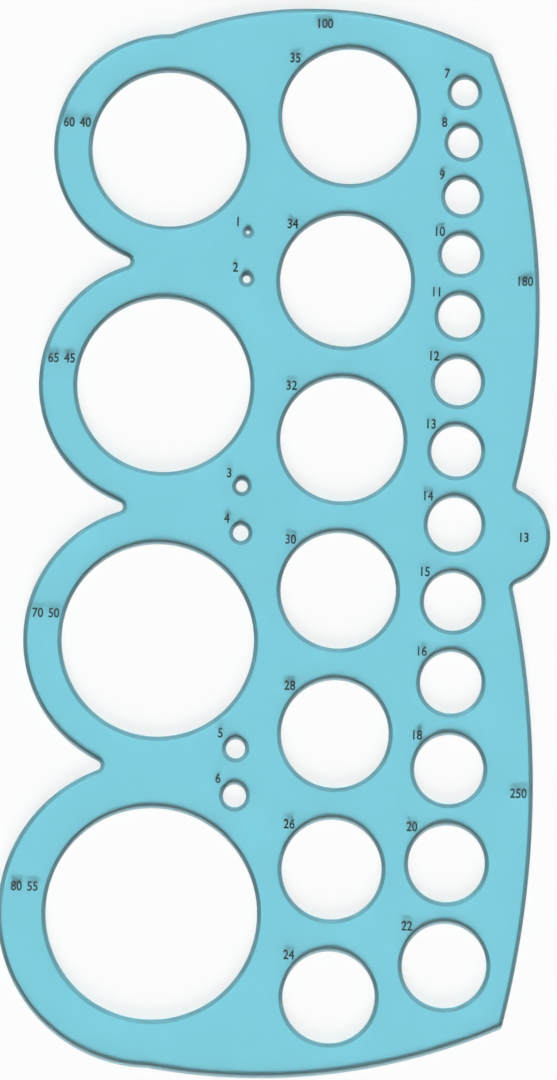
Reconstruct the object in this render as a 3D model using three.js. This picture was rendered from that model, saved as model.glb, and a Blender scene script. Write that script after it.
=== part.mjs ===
// Circle and arc template: one flat sheet of tinted plastic with thirty round openings.
// Its edge is made only of circular arcs, so that circles are drawn inside the openings
// and arcs along the edge. Sizes are in millimetres. The sheet lies on its underside at
// Z = 0 with its long side along Y, and X = Y = 0 is the middle of its outline.

import * as THREE from 'three';

// Sheet
const SHEET_THICKNESS = 1.5;
const EDGE_BREAK = 0.2;

// Diameters of the openings, each column from the top of the sheet down
const LARGE_HOLES = [40, 45, 50, 55];
const MIDDLE_HOLES = [35, 34, 32, 30, 28, 26, 24];
const SMALL_HOLES = [7, 8, 9, 10, 11, 12, 13, 14, 15, 16, 18, 20, 22];
const PIN_HOLE_PAIRS = [[1, 2], [3, 4], [5, 6]];

// Lobes of the left edge: the rim outside each large hole, and how far each lobe runs
// into the next one on the line between their centres
const LOBE_RIMS = [10, 10, 10, 12.5];
const LOBE_OVERLAPS = [1.2, 1.2, 3.9];

// Walls between the last holes of neighbouring columns
const LARGE_TO_MIDDLE_WALL = 7.1;
const MIDDLE_TO_SMALL_WALL = 6.8;

// Walls between the ends of the middle column and the arcs above and below it
const MIDDLE_TOP_WALL = 10;
const MIDDLE_BOTTOM_WALL = 8;

// Pin holes: their column's distance from the large holes' axis, their pitch in a pair, and
// how far each pair sits above the middle of its wall
const PIN_COLUMN_OFFSET = 20.9;
const PIN_PITCH = 12.2;
const PIN_PAIR_RISES = [2.3, 0.1, 0.5];

// Corners of the right edge. Heights are taken from the crown of the first lobe and the
// foot of the last lobe, and reaches from the axis of the small holes
const TOP_CORNER_DROP = 3.3;
const TOP_CORNER_REACH = 6.9;
const BOTTOM_CORNER_RISE = 12.4;
const BOTTOM_CORNER_REACH = 15.3;

// Waist, where the two right-hand arcs meet: its reach, and its height above mid-way
const WAIST_REACH = 12;
const WAIST_RISE = 1.3;

// Centres of the first and last small holes, measured in from those corners
const SMALL_TOP_INSET = 10.1;
const SMALL_BOTTOM_INSET = 15.9;

// Radii of the arcs of the edge
const TOP_ARC = 100;
const UPPER_RIGHT_ARC = 180;
const WAIST_ARC = 13;
const LOWER_RIGHT_ARC = 250;
const BOTTOM_ARC = 160;

// Fillets where two arcs meet
const NOTCH_FILLET = 1.2;
const CORNER_FILLET = 1.2;

// Facets: how far a straight side may stand off its circle, and the fewest on a circle
const CHORD_ERROR = 0.06;
const FEWEST_FACETS = 24;

// Ways that two arcs join: a notch is filled outside both, a corner is cut inside both
const NOTCH = { radius: NOTCH_FILLET, outside: 1 };
const CORNER = { radius: CORNER_FILLET, outside: -1 };

const hole = (x, y, diameter) => ({ x, y, radius: diameter / 2 });

const lobeRadius = (i) => LARGE_HOLES[i] / 2 + LOBE_RIMS[i];

const halfway = (a, b) => (a + b) / 2;

// Large holes, spaced so that each lobe runs into the one above it
function largeColumn() {
  const holes = [hole(0, 0, LARGE_HOLES[0])];
  for (let i = 1; i < LARGE_HOLES.length; i += 1) {
    const apart = lobeRadius(i - 1) + lobeRadius(i) - LOBE_OVERLAPS[i - 1];
    holes.push(hole(0, holes[i - 1].y - apart, LARGE_HOLES[i]));
  }
  return holes;
}

// Holes with equal walls between them, from the centre of the first to that of the last
function evenColumn(diameters, x, firstY, lastY) {
  const touching = diameters.slice(1).map((diameter, i) => halfway(diameters[i], diameter));
  const spare = firstY - lastY - touching.reduce((sum, step) => sum + step, 0);
  const wall = spare / touching.length;
  const holes = [hole(x, firstY, diameters[0])];
  touching.forEach((step, i) => {
    holes.push(hole(x, holes[i].y - step - wall, diameters[i + 1]));
  });
  return holes;
}

// Pin holes, each pair beside the wall between two large holes
function pinColumn(large) {
  return PIN_HOLE_PAIRS.flatMap(([upper, lower], i) => {
    const above = large[i];
    const below = large[i + 1];
    const wallMiddle = halfway(above.y - above.radius, below.y + below.radius);
    const y = wallMiddle + PIN_PAIR_RISES[i];
    const x = above.x + PIN_COLUMN_OFFSET;
    return [hole(x, y + PIN_PITCH / 2, upper), hole(x, y - PIN_PITCH / 2, lower)];
  });
}

// Circle of an arc that runs counterclockwise from one point of the edge to another
function circleThrough(from, to, radius) {
  const half = to.clone().sub(from).multiplyScalar(0.5);
  const inward = new THREE.Vector2(-half.y, half.x).normalize();
  const centre = from.clone().add(half);
  centre.addScaledVector(inward, Math.sqrt(radius ** 2 - half.lengthSq()));
  return { x: centre.x, y: centre.y, radius };
}

// Centre of the fillet that touches two neighbouring circles of the edge
function filletCentre(first, second, join) {
  const firstReach = first.radius + join.outside * join.radius;
  const secondReach = second.radius + join.outside * join.radius;
  const line = new THREE.Vector2(second.x - first.x, second.y - first.y);
  const apart = line.length();
  const along = (apart ** 2 + firstReach ** 2 - secondReach ** 2) / (2 * apart);
  const across = join.outside * Math.sqrt(firstReach ** 2 - along ** 2);
  line.normalize();
  return new THREE.Vector2(
    first.x + line.x * along + line.y * across,
    first.y + line.y * along - line.x * across,
  );
}

// Point where a circle touches a fillet
function touchPoint(circle, filletAt) {
  const reach = new THREE.Vector2(filletAt.x - circle.x, filletAt.y - circle.y);
  reach.setLength(circle.radius);
  return new THREE.Vector2(circle.x + reach.x, circle.y + reach.y);
}

function facetCount(radius, sweep) {
  const facetAngle = 2 * Math.acos(1 - CHORD_ERROR / radius);
  const fewest = (FEWEST_FACETS * sweep) / (2 * Math.PI);
  return Math.ceil(Math.max(sweep / facetAngle, fewest));
}

// Points of a turn about a centre, without the last one
function turnPoints(centre, radius, startAngle, sweep) {
  const count = facetCount(radius, Math.abs(sweep));
  return Array.from({ length: count }, (_, i) => {
    const angle = startAngle + (sweep * i) / count;
    return new THREE.Vector2(
      centre.x + radius * Math.cos(angle),
      centre.y + radius * Math.sin(angle),
    );
  });
}

// Points of an arc from one point up to another, turning the given way
function arcPoints(centre, radius, from, to, turn) {
  const start = Math.atan2(from.y - centre.y, from.x - centre.x);
  const end = Math.atan2(to.y - centre.y, to.x - centre.x);
  const sweep = THREE.MathUtils.euclideanModulo(turn * (end - start), 2 * Math.PI);
  return turnPoints(centre, radius, start, turn * sweep);
}

// Points where the arcs of the edge begin and end: the crown of the first lobe, the foot of
// the last lobe, and the corners and the waist of the right edge
function edgeCorners(large, smallX) {
  const last = large.at(-1);
  const crown = new THREE.Vector2(large[0].x, large[0].y + lobeRadius(0));
  const foot = new THREE.Vector2(last.x, last.y - lobeRadius(large.length - 1));
  const top = new THREE.Vector2(smallX + TOP_CORNER_REACH, crown.y - TOP_CORNER_DROP);
  const bottom = new THREE.Vector2(smallX + BOTTOM_CORNER_REACH, foot.y + BOTTOM_CORNER_RISE);
  const waist = new THREE.Vector2(smallX + WAIST_REACH, halfway(top.y, bottom.y) + WAIST_RISE);
  return { crown, foot, top, bottom, waist };
}

// Circles of the edge's arcs, apart from the lobes of the large holes
function edgeArcs({ crown, foot, top, bottom, waist }) {
  return {
    top: circleThrough(top, crown, TOP_ARC),
    bottom: circleThrough(foot, bottom, BOTTOM_ARC),
    lowerRight: circleThrough(bottom, waist, LOWER_RIGHT_ARC),
    waist: { x: waist.x, y: waist.y, radius: WAIST_ARC },
    upperRight: circleThrough(waist, top, UPPER_RIGHT_ARC),
  };
}

// All circles of the edge, counterclockwise from the top arc, each with its join to the next
function edgeCircles(large, arcs) {
  return [
    { ...arcs.top, join: NOTCH },
    ...large.map((at, i) => ({ ...at, radius: lobeRadius(i), join: NOTCH })),
    { ...arcs.bottom, join: CORNER },
    { ...arcs.lowerRight, join: NOTCH },
    { ...arcs.waist, join: NOTCH },
    { ...arcs.upperRight, join: CORNER },
  ];
}

// Outline of the sheet: each circle's arc, then the fillet that leads to the next circle
function outlinePoints(circles) {
  const fillets = circles.map((circle, i) => {
    const next = circles[(i + 1) % circles.length];
    const at = filletCentre(circle, next, circle.join);
    return { at, join: circle.join, start: touchPoint(circle, at), end: touchPoint(next, at) };
  });
  return circles.flatMap((circle, i) => {
    const before = fillets[(i + fillets.length - 1) % fillets.length];
    const after = fillets[i];
    return [
      ...arcPoints(circle, circle.radius, before.end, after.start, 1),
      ...arcPoints(after.at, after.join.radius, after.start, after.end, -after.join.outside),
    ];
  });
}

// Height of a point of a circle at a given X, on its upper side (1) or lower side (-1)
const heightOn = (circle, x, side) =>
  circle.y + side * Math.sqrt(circle.radius ** 2 - (x - circle.x) ** 2);

// Middle column, which keeps a wall from the arcs above and below it
function middleColumn(x, arcs) {
  const ceiling = heightOn(arcs.top, x, 1) - MIDDLE_TOP_WALL;
  const floor = heightOn(arcs.bottom, x, -1) + MIDDLE_BOTTOM_WALL;
  const firstY = ceiling - MIDDLE_HOLES[0] / 2;
  const lastY = floor + MIDDLE_HOLES.at(-1) / 2;
  return evenColumn(MIDDLE_HOLES, x, firstY, lastY);
}

// Every opening and every circle of the edge, in one plan view
function layOut() {
  const large = largeColumn();
  const last = large.at(-1);
  const middleX = last.x + last.radius + LARGE_TO_MIDDLE_WALL + MIDDLE_HOLES.at(-1) / 2;
  const smallX = middleX + (MIDDLE_HOLES.at(-1) + SMALL_HOLES.at(-1)) / 2 + MIDDLE_TO_SMALL_WALL;
  const corners = edgeCorners(large, smallX);
  const arcs = edgeArcs(corners);
  const smallTop = corners.top.y - SMALL_TOP_INSET;
  const smallBottom = corners.bottom.y + SMALL_BOTTOM_INSET;
  const openings = [
    ...large,
    ...pinColumn(large),
    ...middleColumn(middleX, arcs),
    ...evenColumn(SMALL_HOLES, smallX, smallTop, smallBottom),
  ];
  return { circles: edgeCircles(large, arcs), openings };
}

// Clear plastic with a light cyan tint
function tintedPlastic() {
  return new THREE.MeshStandardMaterial({
    color: '#56b6c7',
    roughness: 0.2,
    metalness: 0,
    transparent: true,
    opacity: 0.75,
  });
}

// The sheet, with its edges and the rims of its openings broken on both faces
function templateSheet() {
  const { circles, openings } = layOut();
  const plan = new THREE.Shape(outlinePoints(circles));
  plan.holes = openings.map((at) => new THREE.Path(turnPoints(at, at.radius, 0, 2 * Math.PI)));
  const geometry = new THREE.ExtrudeGeometry(plan, {
    depth: SHEET_THICKNESS - 2 * EDGE_BREAK,
    bevelThickness: EDGE_BREAK,
    bevelSize: EDGE_BREAK,
    bevelOffset: -EDGE_BREAK,
    bevelSegments: 1,
  });
  const sheet = new THREE.Mesh(geometry, tintedPlastic());
  sheet.name = 'template_sheet';
  geometry.computeBoundingBox();
  const middle = geometry.boundingBox.getCenter(new THREE.Vector3());
  sheet.position.set(-middle.x, -middle.y, EDGE_BREAK);
  return sheet;
}

const template = new THREE.Group();
template.name = 'circle_and_arc_template';
template.add(templateSheet());

export default template;
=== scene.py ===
"""Circle and arc template: a clear tinted sheet with printed figures, lying on white paper."""

import math

import bmesh
import bpy
from mathutils import Matrix, Vector


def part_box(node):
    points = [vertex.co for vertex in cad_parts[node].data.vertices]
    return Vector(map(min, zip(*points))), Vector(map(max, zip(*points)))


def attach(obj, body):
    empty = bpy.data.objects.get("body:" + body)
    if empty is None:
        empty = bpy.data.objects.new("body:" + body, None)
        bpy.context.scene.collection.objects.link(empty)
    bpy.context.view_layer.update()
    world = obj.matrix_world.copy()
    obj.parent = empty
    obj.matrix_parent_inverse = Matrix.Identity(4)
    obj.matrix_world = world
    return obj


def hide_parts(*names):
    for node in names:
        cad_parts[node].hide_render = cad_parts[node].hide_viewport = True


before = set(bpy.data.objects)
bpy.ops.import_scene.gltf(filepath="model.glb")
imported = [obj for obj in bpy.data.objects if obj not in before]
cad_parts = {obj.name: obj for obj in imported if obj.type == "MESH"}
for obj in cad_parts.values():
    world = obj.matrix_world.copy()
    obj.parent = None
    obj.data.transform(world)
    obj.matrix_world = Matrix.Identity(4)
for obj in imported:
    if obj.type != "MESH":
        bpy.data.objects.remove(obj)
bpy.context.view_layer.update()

MM = 0.001

# All sizes below are in millimetres and all angles in degrees

# Heights of the ink and of the sheet under it. The ink's top is the top of the solid model.
INK_THICKNESS = 0.012
INK_OVERLAP = 0.008
INK_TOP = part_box("template_sheet")[1].z / MM
SHEET_TOP = INK_TOP - INK_THICKNESS
INK_BOTTOM = SHEET_TOP - INK_OVERLAP

# Rounding of the rims, the strip of painted shade beside them with its soft inner side, and
# how far the edge stays inside that of the solid model
RIM_ROUND = 0.2
RIM_ROUND_STEPS = 3
PAINTED_SHADE_BAND = 0.95
PAINTED_SHADE_FADE = 0.2
EDGE_EASE = 0.04

# Diameters of the openings, each column from the top of the sheet down
LARGE_HOLES = [40, 45, 50, 55]
MIDDLE_HOLES = [35, 34, 32, 30, 28, 26, 24]
SMALL_HOLES = [7, 8, 9, 10, 11, 12, 13, 14, 15, 16, 18, 20, 22]
PIN_HOLE_PAIRS = [(1, 2), (3, 4), (5, 6)]

# Lobes of the left edge: width of the rim round each large opening, and how far each lobe
# runs into the next
LOBE_RIMS = [10, 10, 10, 12.5]
LOBE_OVERLAPS = [1.2, 1.2, 3.9]

# Walls between columns, and above and below the middle one
LARGE_TO_MIDDLE_WALL = 7.1
MIDDLE_TO_SMALL_WALL = 6.8
MIDDLE_TOP_WALL = 10
MIDDLE_BOTTOM_WALL = 8

# Pin holes: their column's distance from the large one, the distance within a pair, and how
# far each pair stands above the middle between two large openings
PIN_COLUMN_OFFSET = 20.9
PIN_PITCH = 12.2
PIN_PAIR_RISES = [2.3, 0.1, 0.5]

# Right edge: how far its corners and waist reach beyond the column of small openings, how
# far the corners stand below the crown and above the foot, and the waist above the middle
# between them
TOP_CORNER_REACH = 6.9
BOTTOM_CORNER_REACH = 15.3
WAIST_REACH = 12
TOP_CORNER_DROP = 3.3
BOTTOM_CORNER_RISE = 12.4
WAIST_RISE = 1.3

# First and last of the small openings: how far their middles stand inside the corners
SMALL_TOP_INSET = 10.1
SMALL_BOTTOM_INSET = 15.9

# Radii of the arcs of the edge and of the fillets between them
TOP_ARC = 100
UPPER_RIGHT_ARC = 180
WAIST_ARC = 13
LOWER_RIGHT_ARC = 250
BOTTOM_ARC = 160
FILLET = 1.2

# Length of a facet along a curve, and the fewest facets on an opening and on an arc
FACET = 0.8
FEWEST_HOLE_FACETS = 24
FEWEST_ARC_FACETS = 4

# A face belongs to a wall where the Z of its normal is nearer to 0 than this
WALL_NORMAL_Z = 0.5

# How much the large flat faces lead the shading of the rounding beside them, from 50 for
# not at all to 100 for wholly
FLAT_FACE_WEIGHT = 100

# Printed figures: their height in mm and at a font size of 1, their width as a share of the
# font's, how far each stroke is thickened, the steps of its curves and sides, and how near
# to each other two points become one
FIGURE_HEIGHT = 2.4
CAP_HEIGHT = 0.7
FIGURE_WIDTH_SHARE = 0.86
FIGURE_THICKENING = 0.06
FIGURE_CURVE_STEPS = 6
FIGURE_SIDE_STEPS = 1
FIGURE_MERGE = 0.0005

# Places of the figures beside an opening, on a lobe, and along the other arcs
FIGURE_GAP = 3.3
FIGURE_ANGLE = 46
LOBE_FIGURE_RISE = 6.6
LOBE_FIGURE_SPACING = 4.2
ARC_FIGURE_INSET = 3.8
TOP_FIGURE_SHIFT = -7
SIDE_FIGURE_RISE = 66.5
WAIST_FIGURE_REACH = 6

# Colours of the plastic: at its surface, a painted shade on the strip along its rims for the
# light that real rims lose, and of the dye in its depth, with the dye's absorption per metre
# of the light that its colour lacks
SHEET_TINT = "#e7f5fd"
PAINTED_RIM_SHADE = "#b9bdc3"
DYE = "#00f6fa"
DYE_DENSITY = 300

# Refraction of acrylic, and its roughness: as moulded, where hands have touched it, and what
# a wall adds to that
ACRYLIC_IOR = 1.49
MOULDED_ROUGHNESS = 0.02
HANDLED_ROUGHNESS = 0.09
WALL_ROUGHNESS = 0.12

# Ink where it lies full and where it lies thin, and its roughness from grain to grain
FULL_INK = "#0b181d"
THIN_INK = "#182b31"
INK_ROUGHNESS = (0.38, 0.6)

# Widths and heights of the patterns in the materials. Mould grain and ink grain are really
# finer than 0.1 mm and are drawn coarser here, so that they show.
FLOW_WAVE = 22
FLOW_WAVE_HEIGHT = 0.2
HANDLING_PATCH = 16
MOULD_GRAIN = 0.25
MOULD_GRAIN_HEIGHT = 0.02
INK_PATCH = 1.6
INK_GRAIN = 0.35
INK_GRAIN_HEIGHT = 0.01

# Paper that the sheet lies on: its colour, and the colour and share of a glow that only the
# camera sees. A sheet this thin is never quite flat, so it lies a little above the paper.
PAPER = "#f7f7f7"
PAPER_SEEN = "#fcfcfc"
PAPER_GLOW = 0.85
PAPER_ROUGHNESS = 0.8
PAPER_SIZE = 3000
PAPER_GAP = 0.22

# Studio light: an even fill, and a wide soft light low beyond the foot of the sheet, with
# the cosine of the angle from its middle to its edge
FILL = 0.1
KEY = 22.5
KEY_ELEVATION = 26
KEY_EDGE = 0.9

# How many times light may be turned on its way: in all, and by mirroring, as it is from face
# to face inside the sheet
ALL_BOUNCES = 16
GLOSSY_BOUNCES = 12

# Camera, straight above: its middle, its turn, the height of its field, and its lens
CAMERA_MIDDLE = (0.06, 0.86)
CAMERA_ROLL = 1.37
FIELD_HEIGHT = 280.5
LENS = 120
SENSOR = 36

# Sockets of a Mix node by number, because numbers and colours have the same names there
MIX_FACTOR = 0
MIX_NUMBER_A, MIX_NUMBER_B = 2, 3
MIX_COLOUR_A, MIX_COLOUR_B = 6, 7
MIX_NUMBER_RESULT = 0
MIX_COLOUR_RESULT = 2


def hole(x, y, diameter):
    """Centre and radius of an opening."""
    return (Vector((x, y)), diameter / 2)


def lobe_radius(i):
    """Radius of the edge round a large opening."""
    return LARGE_HOLES[i] / 2 + LOBE_RIMS[i]


def large_column():
    """Large openings, as far apart as the lobes round them need."""
    holes = [hole(0, 0, LARGE_HOLES[0])]
    for i in range(1, len(LARGE_HOLES)):
        apart = lobe_radius(i - 1) + lobe_radius(i) - LOBE_OVERLAPS[i - 1]
        holes.append(hole(0, holes[-1][0].y - apart, LARGE_HOLES[i]))
    return holes


def even_column(diameters, x, first, last):
    """Openings from one height down to another, with equal walls between them."""
    touching = [(a + b) / 2 for a, b in zip(diameters, diameters[1:])]
    wall = (first - last - sum(touching)) / len(touching)
    holes = [hole(x, first, diameters[0])]
    for step, diameter in zip(touching, diameters[1:]):
        holes.append(hole(x, holes[-1][0].y - step - wall, diameter))
    return holes


def pin_column(large):
    """Pairs of the smallest openings, beside the walls between the large ones."""
    holes = []
    for i, (upper, lower) in enumerate(PIN_HOLE_PAIRS):
        (above, above_r), (below, below_r) = large[i], large[i + 1]
        y = (above.y - above_r + below.y + below_r) / 2 + PIN_PAIR_RISES[i]
        holes.append(hole(above.x + PIN_COLUMN_OFFSET, y + PIN_PITCH / 2, upper))
        holes.append(hole(above.x + PIN_COLUMN_OFFSET, y - PIN_PITCH / 2, lower))
    return holes


def circle_through(start, end, radius):
    """Circle of an arc that runs counterclockwise from one point to another."""
    half = (end - start) / 2
    inward = Vector((-half.y, half.x)).normalized()
    return (start + half + inward * math.sqrt(radius**2 - half.length_squared), radius)


def height_on(circle, x, side):
    """Height of a circle at x, on its upper side if side is 1 and its lower if -1."""
    centre, radius = circle
    return centre.y + side * math.sqrt(radius**2 - (x - centre.x) ** 2)


def lay_out():
    """Circles of the edge, and the columns of openings.

    With each circle stands 1 if the fillet after it lies outside it and -1 if inside.
    """
    large = large_column()
    middle_x = large[-1][0].x + large[-1][1] + LARGE_TO_MIDDLE_WALL + MIDDLE_HOLES[-1] / 2
    small_x = middle_x + (MIDDLE_HOLES[-1] + SMALL_HOLES[-1]) / 2 + MIDDLE_TO_SMALL_WALL
    crown = large[0][0] + Vector((0, lobe_radius(0)))
    foot = large[-1][0] - Vector((0, lobe_radius(len(large) - 1)))
    top = Vector((small_x + TOP_CORNER_REACH, crown.y - TOP_CORNER_DROP))
    bottom = Vector((small_x + BOTTOM_CORNER_REACH, foot.y + BOTTOM_CORNER_RISE))
    waist = Vector((small_x + WAIST_REACH, (top.y + bottom.y) / 2 + WAIST_RISE))
    top_arc = circle_through(top, crown, TOP_ARC)
    bottom_arc = circle_through(foot, bottom, BOTTOM_ARC)
    ring = [(top_arc, 1)]
    ring += [((at, lobe_radius(i)), 1) for i, (at, _) in enumerate(large)]
    ring += [
        (bottom_arc, -1),
        (circle_through(bottom, waist, LOWER_RIGHT_ARC), 1),
        ((waist, WAIST_ARC), 1),
        (circle_through(waist, top, UPPER_RIGHT_ARC), -1),
    ]
    first = height_on(top_arc, middle_x, 1) - MIDDLE_TOP_WALL - MIDDLE_HOLES[0] / 2
    last = height_on(bottom_arc, middle_x, -1) + MIDDLE_BOTTOM_WALL + MIDDLE_HOLES[-1] / 2
    columns = {
        "large": large,
        "pin": pin_column(large),
        "middle": even_column(MIDDLE_HOLES, middle_x, first, last),
        "small": even_column(
            SMALL_HOLES, small_x, top.y - SMALL_TOP_INSET, bottom.y + SMALL_BOTTOM_INSET
        ),
    }
    return ring, columns


def fillet_between(first, second, outside):
    """Centre and radius of the fillet that touches two circles, and where it does."""
    (a, ra), (b, rb) = first, second
    fillet = FILLET + outside * EDGE_EASE
    reach_a, reach_b = ra + outside * fillet, rb + outside * fillet
    line = b - a
    along = (line.length_squared + reach_a**2 - reach_b**2) / (2 * line.length)
    across = outside * math.sqrt(reach_a**2 - along**2)
    line.normalize()
    centre = a + line * along + Vector((line.y, -line.x)) * across
    return centre, fillet, a + (centre - a).normalized() * ra, b + (centre - b).normalized() * rb


def swept(centre, start, end, turn):
    """Angle from one point to another round a centre, counterclockwise if turn is 1.

    If turn is -1, it is clockwise and negative.
    """
    a = math.atan2(start.y - centre.y, start.x - centre.x)
    b = math.atan2(end.y - centre.y, end.x - centre.x)
    return turn * ((turn * (b - a)) % (2 * math.pi))


def draw_arc(bm, vert, centre, radius, angle):
    """Edges along an arc from vert, made by a spin. Returns the last vertex."""
    steps = max(FEWEST_ARC_FACETS, math.ceil(abs(angle) * radius / FACET))
    made = bmesh.ops.spin(
        bm, geom=[vert], cent=centre.to_3d(), axis=(0, 0, 1), angle=angle, steps=steps
    )
    return [v for v in made["geom_last"] if isinstance(v, bmesh.types.BMVert)][0]


def draw_edge(bm, ring):
    """The closed outline, eased inwards: an arc of each circle, with a fillet after it."""
    circles = [((at, radius - EDGE_EASE), outside) for (at, radius), outside in ring]
    fillets = [
        fillet_between(circles[i][0], circles[(i + 1) % len(circles)][0], circles[i][1])
        for i in range(len(circles))
    ]
    first = vert = bm.verts.new(fillets[-1][3].to_3d())
    for i, ((at, radius), outside) in enumerate(circles):
        centre, fillet, start, end = fillets[i]
        vert = draw_arc(bm, vert, at, radius, swept(at, fillets[i - 1][3], start, 1))
        vert = draw_arc(bm, vert, centre, fillet, swept(centre, start, end, -outside))
    bmesh.ops.pointmerge(bm, verts=[first, vert], merge_co=first.co)


def draw_holes(bm, holes):
    """A closed ring of edges for each opening."""
    for at, radius in holes:
        facets = max(FEWEST_HOLE_FACETS, math.ceil(2 * math.pi * radius / FACET))
        place = Matrix.Translation(at.to_3d())
        bmesh.ops.create_circle(bm, segments=facets, radius=radius, matrix=place)


def is_wall(face):
    """Whether a face stands upright."""
    return abs(face.normal.z) < WALL_NORMAL_Z


def draw_sheet(bm, ring, columns):
    """The underside of the sheet, with the strip of painted shade along its edge and openings
    marked.
    """
    draw_edge(bm, ring)
    for holes in columns.values():
        draw_holes(bm, holes)
    bmesh.ops.triangle_fill(bm, edges=bm.edges[:], use_beauty=True, use_dissolve=False)
    bmesh.ops.recalc_face_normals(bm, faces=bm.faces[:])
    for face in bm.faces:
        if face.normal.z > 0:
            face.normal_flip()
    inner = bm.faces[:]
    for width in (PAINTED_SHADE_BAND, PAINTED_SHADE_FADE):
        bmesh.ops.inset_region(
            bm, faces=inner, thickness=width, use_boundary=True, use_even_offset=True
        )
    # Mask of the painted shade: 1 on the strip beside each rim, 0 further in
    rim = bm.verts.layers.float.new("rim")
    for vert in bm.verts:
        vert[rim] = 1
    for face in inner:
        for vert in face.verts:
            vert[rim] = 0


def build_sheet(ring, columns):
    """The sheet in millimetres, with rounded rims, and its strips of painted rim shade and its
    walls marked.
    """
    bm = bmesh.new()
    draw_sheet(bm, ring, columns)
    made = bmesh.ops.extrude_face_region(bm, geom=bm.faces[:], use_keep_orig=True)
    tops = [v for v in made["geom"] if isinstance(v, bmesh.types.BMVert)]
    bmesh.ops.translate(bm, verts=tops, vec=(0, 0, SHEET_TOP))
    bmesh.ops.recalc_face_normals(bm, faces=bm.faces[:])
    rims = [e for e in bm.edges if len({is_wall(f) for f in e.link_faces}) == 2]
    bmesh.ops.bevel(
        bm,
        geom=rims,
        offset=RIM_ROUND,
        affect="EDGES",
        segments=RIM_ROUND_STEPS,
        profile=0.5,
        material=-1,
    )
    # Mask of the painted rim shade, which the walls don't take
    rim = bm.verts.layers.float["rim"]
    wall = bm.verts.layers.float.new("wall")
    for face in bm.faces:
        face.smooth = True
    for vert in {v for face in bm.faces if is_wall(face) for v in face.verts}:
        vert[wall] = 1
        vert[rim] = 0
    return bm


def sheet_offset(bm):
    """Move that brings the middle of the outline to X = Y = 0."""
    xs = [v.co.x for v in bm.verts]
    ys = [v.co.y for v in bm.verts]
    return Vector((-(min(xs) + max(xs)) / 2, -(min(ys) + max(ys)) / 2, 0))


def object_from(bm, name, material):
    """An object at the origin that holds the finished mesh."""
    mesh = bpy.data.meshes.new(name)
    bm.to_mesh(mesh)
    bm.free()
    mesh.materials.append(material)
    made = bpy.data.objects.new(name, mesh)
    bpy.context.scene.collection.objects.link(made)
    return made


def figure_mesh(text):
    """A printed figure as a flat closed mesh in millimetres, its middle on the Z axis."""
    curve = bpy.data.curves.new("figure", "FONT")
    curve.body = text
    curve.size = FIGURE_HEIGHT / CAP_HEIGHT
    curve.align_x = "CENTER"
    curve.bevel_depth = FIGURE_THICKENING
    curve.bevel_resolution = FIGURE_SIDE_STEPS
    curve.resolution_u = FIGURE_CURVE_STEPS
    holder = bpy.data.objects.new("figure", curve)
    bpy.context.scene.collection.objects.link(holder)
    graph = bpy.context.evaluated_depsgraph_get()
    mesh = bpy.data.meshes.new_from_object(holder.evaluated_get(graph))
    bpy.data.objects.remove(holder)
    bpy.data.curves.remove(curve)
    flat = (INK_TOP - INK_BOTTOM) / (2 * FIGURE_THICKENING)
    mesh.transform(Matrix.Diagonal((FIGURE_WIDTH_SHARE, 1, flat, 1)))
    mesh.transform(Matrix.Translation((0, -FIGURE_HEIGHT / 2, (INK_TOP + INK_BOTTOM) / 2)))
    return mesh


def build_figures(marks, offset, name, ink):
    """One piece of all the figures in a group, each at its place on the sheet."""
    bm = bmesh.new()
    for value, place in marks:
        mesh = figure_mesh(f"{value:g}")
        mesh.transform(Matrix.Translation(place.to_3d() + offset))
        bm.from_mesh(mesh)
        bpy.data.meshes.remove(mesh)
    bmesh.ops.remove_doubles(bm, verts=bm.verts[:], dist=FIGURE_MERGE)
    bmesh.ops.scale(bm, vec=(MM, MM, MM), verts=bm.verts[:])
    figures = object_from(bm, name, ink)
    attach(figures, "root")


def hole_marks(holes):
    """Each opening's diameter, up and to the left of it."""
    angle = math.radians(FIGURE_ANGLE)
    way = Vector((-math.cos(angle), math.sin(angle)))
    return [(2 * radius, at + way * (radius + FIGURE_GAP)) for at, radius in holes]


def lobe_marks(large):
    """On each lobe, the diameters of its edge and of its opening, side by side."""
    marks = []
    for i, (at, radius) in enumerate(large):
        sides = [
            math.sqrt(size**2 - LOBE_FIGURE_RISE**2) for size in (lobe_radius(i), radius)
        ]
        middle = at + Vector((-sum(sides) / 2, LOBE_FIGURE_RISE))
        half = Vector((LOBE_FIGURE_SPACING / 2, 0))
        marks += [(2 * lobe_radius(i), middle - half), (2 * radius, middle + half)]
    return marks


def arc_marks(ring, middle_x):
    """The radii of the arcs of the top, the waist and the right edge."""
    (top, _), (lower, _), (waist, _), (upper, _) = ring[0], ring[-3], ring[-2], ring[-1]
    x = middle_x + TOP_FIGURE_SHIFT
    marks = [(top[1], Vector((x, height_on((top[0], top[1] - ARC_FIGURE_INSET), x, 1))))]
    marks.append((waist[1], waist[0] + Vector((WAIST_FIGURE_REACH, 0))))
    for (at, radius), rise in ((upper, SIDE_FIGURE_RISE), (lower, -SIDE_FIGURE_RISE)):
        y = waist[0].y + rise
        x = at.x + math.sqrt((radius - ARC_FIGURE_INSET) ** 2 - (y - at.y) ** 2)
        marks.append((radius, Vector((x, y))))
    return marks


def linear(code):
    """sRGB hex to linear RGBA, by the sRGB standard's own curve."""
    values = [int(code[i : i + 2], 16) / 255 for i in (1, 3, 5)]
    return [v / 12.92 if v <= 0.04045 else ((v + 0.055) / 1.055) ** 2.4 for v in values] + [1]


def link(owner, node, sources):
    """Links outputs of other nodes to a node's inputs."""
    for key, source in sources.items():
        owner.node_tree.links.new(source, node.inputs[key])


def add(owner, kind, settings=None, inputs=None, links=None):
    """Adds a node to a material or the world, with its settings, input values and links."""
    node = owner.node_tree.nodes.new(kind)
    for key, value in (settings or {}).items():
        setattr(node, key, value)
    for key, value in (inputs or {}).items():
        node.inputs[key].default_value = value
    link(owner, node, links or {})
    return node


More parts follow.
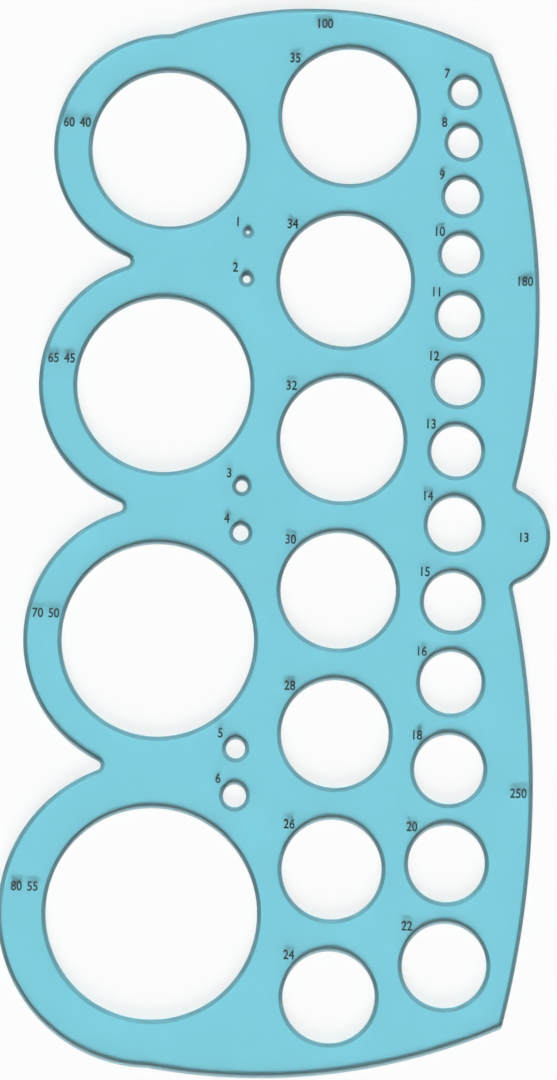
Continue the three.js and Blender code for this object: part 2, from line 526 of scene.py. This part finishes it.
def new_material(name):
    """A material, its shader and its output."""
    material = bpy.data.materials.new(name)
    material.use_nodes = True
    nodes = material.node_tree.nodes
    return material, nodes["Principled BSDF"], nodes["Material Output"]


def dyed_acrylic():
    """Clear acrylic dyed through, injection moulded in a polished mould.

    The dye deepens with the way that light goes in it, so the edges look darker than the
    flat. The rims lose light sideways and read as a dark line, and a painted shade on a strip
    beside each rim darkens the surface colour there to deepen that line. Slow waves of the
    flowing plastic and patches of handling keep the flat gloss from looking like perfect
    glass, and the walls, which the mould doesn't polish, are satin with a fine grain.
    """
    material, shader, output = new_material("dyed_moulded_acrylic")
    shader.inputs["IOR"].default_value = ACRYLIC_IOR
    shader.inputs["Transmission Weight"].default_value = 1
    place = add(material, "ShaderNodeTexCoord").outputs["Object"]
    # Mask of the painted shade beside the rims
    rim = add(material, "ShaderNodeAttribute", settings={"attribute_name": "rim"})
    wall = add(material, "ShaderNodeAttribute", settings={"attribute_name": "wall"})
    # Surface colour, with a painted shade on the strip beside each rim for the light that rims
    # lose
    tint_and_painted_shade = add(
        material,
        "ShaderNodeMix",
        settings={"data_type": "RGBA"},
        inputs={MIX_COLOUR_A: linear(SHEET_TINT), MIX_COLOUR_B: linear(PAINTED_RIM_SHADE)},
        links={MIX_FACTOR: rim.outputs["Fac"]},
    )
    handling = add(
        material,
        "ShaderNodeTexNoise",
        inputs={"Scale": 1 / (HANDLING_PATCH * MM), "Detail": 6, "Roughness": 0.65},
        links={"Vector": place},
    )
    gloss = add(
        material,
        "ShaderNodeMapRange",
        inputs={
            "From Min": 0.3,
            "From Max": 0.7,
            "To Min": MOULDED_ROUGHNESS,
            "To Max": HANDLED_ROUGHNESS,
        },
        links={"Value": handling.outputs["Fac"]},
    )
    satin = add(
        material,
        "ShaderNodeMath",
        settings={"operation": "MULTIPLY_ADD"},
        inputs={1: WALL_ROUGHNESS},
        links={0: wall.outputs["Fac"], 2: gloss.outputs["Result"]},
    )
    flow = add(
        material,
        "ShaderNodeTexNoise",
        inputs={"Scale": 1 / (FLOW_WAVE * MM), "Detail": 1},
        links={"Vector": place},
    )
    waves = add(
        material,
        "ShaderNodeBump",
        inputs={"Strength": 0.1, "Distance": FLOW_WAVE_HEIGHT * MM},
        links={"Height": flow.outputs["Fac"]},
    )
    grain = add(
        material,
        "ShaderNodeTexNoise",
        inputs={"Scale": 1 / (MOULD_GRAIN * MM), "Detail": 2},
        links={"Vector": place},
    )
    rough_wall = add(
        material,
        "ShaderNodeMath",
        settings={"operation": "MULTIPLY"},
        links={0: grain.outputs["Fac"], 1: wall.outputs["Fac"]},
    )
    surface = add(
        material,
        "ShaderNodeBump",
        inputs={"Strength": 0.25, "Distance": MOULD_GRAIN_HEIGHT * MM},
        links={"Height": rough_wall.outputs[0], "Normal": waves.outputs["Normal"]},
    )
    dye = add(
        material,
        "ShaderNodeVolumeAbsorption",
        inputs={"Color": linear(DYE), "Density": DYE_DENSITY},
    )
    finish = {
        "Base Color": tint_and_painted_shade.outputs[MIX_COLOUR_RESULT],
        "Roughness": satin.outputs[0],
        "Normal": surface.outputs["Normal"],
    }
    link(material, shader, finish)
    link(material, output, {"Volume": dye.outputs["Volume"]})
    return material


def printed_ink():
    """Dark pad-printing ink, matt beside the gloss of the sheet.

    It lies a little thinner in patches, where it lets the colour of the sheet through,
    and its surface has the fine grain of dried ink.
    """
    material, shader, _ = new_material("pad_printed_ink")
    place = add(material, "ShaderNodeTexCoord").outputs["Object"]
    patches = add(
        material,
        "ShaderNodeTexNoise",
        inputs={"Scale": 1 / (INK_PATCH * MM), "Detail": 4, "Roughness": 0.6},
        links={"Vector": place},
    )
    cover = add(
        material,
        "ShaderNodeMapRange",
        inputs={"From Min": 0.35, "From Max": 0.65},
        links={"Value": patches.outputs["Fac"]},
    )
    tone = add(
        material,
        "ShaderNodeMix",
        settings={"data_type": "RGBA"},
        inputs={MIX_COLOUR_A: linear(FULL_INK), MIX_COLOUR_B: linear(THIN_INK)},
        links={MIX_FACTOR: cover.outputs["Result"]},
    )
    grain = add(
        material,
        "ShaderNodeTexNoise",
        inputs={"Scale": 1 / (INK_GRAIN * MM), "Detail": 3},
        links={"Vector": place},
    )
    dull = add(
        material,
        "ShaderNodeMapRange",
        inputs={"To Min": INK_ROUGHNESS[0], "To Max": INK_ROUGHNESS[1]},
        links={"Value": grain.outputs["Fac"]},
    )
    dried = add(
        material,
        "ShaderNodeBump",
        inputs={"Strength": 0.3, "Distance": INK_GRAIN_HEIGHT * MM},
        links={"Height": grain.outputs["Fac"]},
    )
    finish = {
        "Base Color": tone.outputs[MIX_COLOUR_RESULT],
        "Roughness": dull.outputs["Result"],
        "Normal": dried.outputs["Normal"],
    }
    link(material, shader, finish)
    return material


def drawing_paper():
    """Matt white drawing paper, which the camera sees a little lighter than it is lit.

    The shadow of the sheet stays on it, and stays faint.
    """
    material, shader, output = new_material("matt_white_paper")
    shader.inputs["Base Color"].default_value = linear(PAPER)
    shader.inputs["Roughness"].default_value = PAPER_ROUGHNESS
    ray = add(material, "ShaderNodeLightPath")
    seen = add(
        material,
        "ShaderNodeMath",
        settings={"operation": "MULTIPLY"},
        inputs={1: PAPER_GLOW},
        links={0: ray.outputs["Is Camera Ray"]},
    )
    glow = add(material, "ShaderNodeEmission", inputs={"Color": linear(PAPER_SEEN)})
    blend = add(
        material,
        "ShaderNodeMixShader",
        links={0: seen.outputs[0], 1: shader.outputs[0], 2: glow.outputs[0]},
    )
    link(material, output, {"Surface": blend.outputs[0]})
    return material


def studio_light():
    """One wide soft light over an even fill, for all light that a surface has scattered.

    The camera sees white instead, also where the sheet mirrors it or lets it through.
    """
    world = bpy.data.worlds.new("studio")
    world.use_nodes = True
    studio = world.node_tree.nodes["Background"]
    studio.inputs["Color"].default_value = linear(PAPER_SEEN)
    low = math.radians(KEY_ELEVATION)
    view = add(world, "ShaderNodeTexCoord")
    towards = add(
        world,
        "ShaderNodeVectorMath",
        settings={"operation": "DOT_PRODUCT"},
        inputs={1: (0, -math.cos(low), math.sin(low))},
        links={0: view.outputs["Generated"]},
    )
    soft = add(
        world,
        "ShaderNodeMapRange",
        settings={"interpolation_type": "SMOOTHSTEP"},
        inputs={"From Min": KEY_EDGE, "From Max": 1, "To Min": FILL, "To Max": KEY},
        links={"Value": towards.outputs["Value"]},
    )
    ray = add(world, "ShaderNodeLightPath")
    mirrored = add(
        world,
        "ShaderNodeMath",
        settings={"operation": "MAXIMUM"},
        links={0: ray.outputs["Is Glossy Ray"], 1: ray.outputs["Is Transmission Ray"]},
    )
    unscattered = add(
        world,
        "ShaderNodeMath",
        settings={"operation": "SUBTRACT", "use_clamp": True},
        links={0: mirrored.outputs[0], 1: ray.outputs["Diffuse Depth"]},
    )
    seen = add(
        world,
        "ShaderNodeMath",
        settings={"operation": "MAXIMUM"},
        links={0: ray.outputs["Is Camera Ray"], 1: unscattered.outputs[0]},
    )
    strength = add(
        world,
        "ShaderNodeMix",
        settings={"data_type": "FLOAT"},
        inputs={MIX_NUMBER_B: 1},
        links={MIX_FACTOR: seen.outputs[0], MIX_NUMBER_A: soft.outputs["Result"]},
    )
    link(world, studio, {"Strength": strength.outputs[MIX_NUMBER_RESULT]})
    return world


def overhead_camera():
    """Camera far above the sheet, looking straight down at it."""
    data = bpy.data.cameras.new("camera")
    data.lens = LENS
    data.sensor_width = SENSOR
    camera = bpy.data.objects.new("camera", data)
    bpy.context.scene.collection.objects.link(camera)
    distance = FIELD_HEIGHT * LENS / SENSOR
    camera.location = Vector((*CAMERA_MIDDLE, SHEET_TOP + distance)) * MM
    camera.rotation_euler = (0, 0, math.radians(CAMERA_ROLL))
    return camera


# The sheet
ring, columns = lay_out()
sheet_bm = build_sheet(ring, columns)
offset = sheet_offset(sheet_bm)
bmesh.ops.translate(sheet_bm, verts=sheet_bm.verts[:], vec=offset)
bmesh.ops.scale(sheet_bm, vec=(MM, MM, MM), verts=sheet_bm.verts[:])
sheet = object_from(sheet_bm, "clear_sheet", dyed_acrylic())
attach(sheet, "root")
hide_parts("template_sheet")
normals = sheet.modifiers.new("even_normals", "WEIGHTED_NORMAL")
normals.weight = FLAT_FACE_WEIGHT

# The figures printed on it
ink = printed_ink()
groups = {
    "small_hole_figures": hole_marks(columns["small"]),
    "middle_hole_figures": hole_marks(columns["middle"]),
    "pin_hole_figures": hole_marks(columns["pin"]),
    "lobe_figures": lobe_marks(columns["large"]),
    "arc_figures": arc_marks(ring, columns["middle"][0][0].x),
}
for name, marks in groups.items():
    build_figures(marks, offset, name, ink)

# The paper under it
paper = bmesh.new()
bmesh.ops.create_grid(paper, x_segments=1, y_segments=1, size=PAPER_SIZE * MM / 2)
bmesh.ops.translate(paper, verts=paper.verts[:], vec=(0, 0, -PAPER_GAP * MM))
object_from(paper, "white_paper", drawing_paper())

# Light and camera
scene = bpy.context.scene
scene.world = studio_light()
scene.camera = overhead_camera()
scene.view_settings.view_transform = "Standard"

# Light from the paper comes through the clear sheet unblurred, and goes on inside it from
# face to face until it leaves at an edge
scene.cycles.blur_glossy = 0
scene.cycles.max_bounces = ALL_BOUNCES
scene.cycles.glossy_bounces = GLOSSY_BOUNCES
